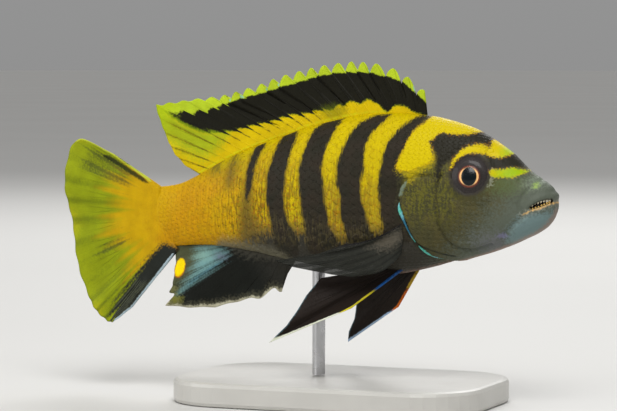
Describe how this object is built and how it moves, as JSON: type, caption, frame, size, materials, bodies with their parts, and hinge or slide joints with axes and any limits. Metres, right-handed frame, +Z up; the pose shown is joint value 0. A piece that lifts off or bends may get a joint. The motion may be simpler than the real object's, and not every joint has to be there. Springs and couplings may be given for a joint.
{
  "type": "mbuna cichlid fish model",
  "caption": "Still life-size mbuna cichlid fish with a raised dorsal fin and spread tail, held level over a plain flat base by one short rod.",
  "frame": {"origin": "middle of the underside of the stand's base", "axes": "+X towards the fish's head, +Y to the fish's left, +Z up"},
  "size_m": [0.0996, 0.038, 0.0633],
  "materials": {
    "head": "satin painted skin, olive grey with dark and yellow bars",
    "jaw_upper": "satin painted skin, grey green lip with white teeth",
    "jaw_lower": "satin painted skin, slate blue with a peach lip",
    "trunk": "satin scaled skin, yellow with charcoal bars",
    "tail_stem": "satin scaled skin, golden orange",
    "gill_cover": "satin painted skin, mottled olive with a turquoise edge",
    "eye": "polished, blue black with a gold ring",
    "pectoral": "thin smoky grey fin",
    "pelvic": "brown black fin with a blue white leading edge",
    "dorsal": "near black fin with lime green lappets",
    "anal": "near black fin with a cream margin and a yellow egg spot",
    "tail": "lime and orange fin with dark streaks",
    "stand_base": "satin black painted base",
    "stand_rod": "plain drawn rod"
  },
  "bodies": {
    "root": {"head": "head", "jaw_upper": "jaw_upper", "jaw_lower": "jaw_lower", "trunk": "trunk", "tail_stem": "tail_stem", "gill_cover_left": "gill_cover", "gill_cover_right": "gill_cover", "eye_left": "eye", "eye_right": "eye", "fin_pectoral_left": "pectoral", "fin_pectoral_right": "pectoral", "fin_pelvic_left": "pelvic", "fin_pelvic_right": "pelvic", "fin_dorsal": "dorsal", "fin_anal": "anal", "fin_tail": "tail", "stand_base": "stand_base", "stand_rod": "stand_rod"}
  },
  "joints": []
}
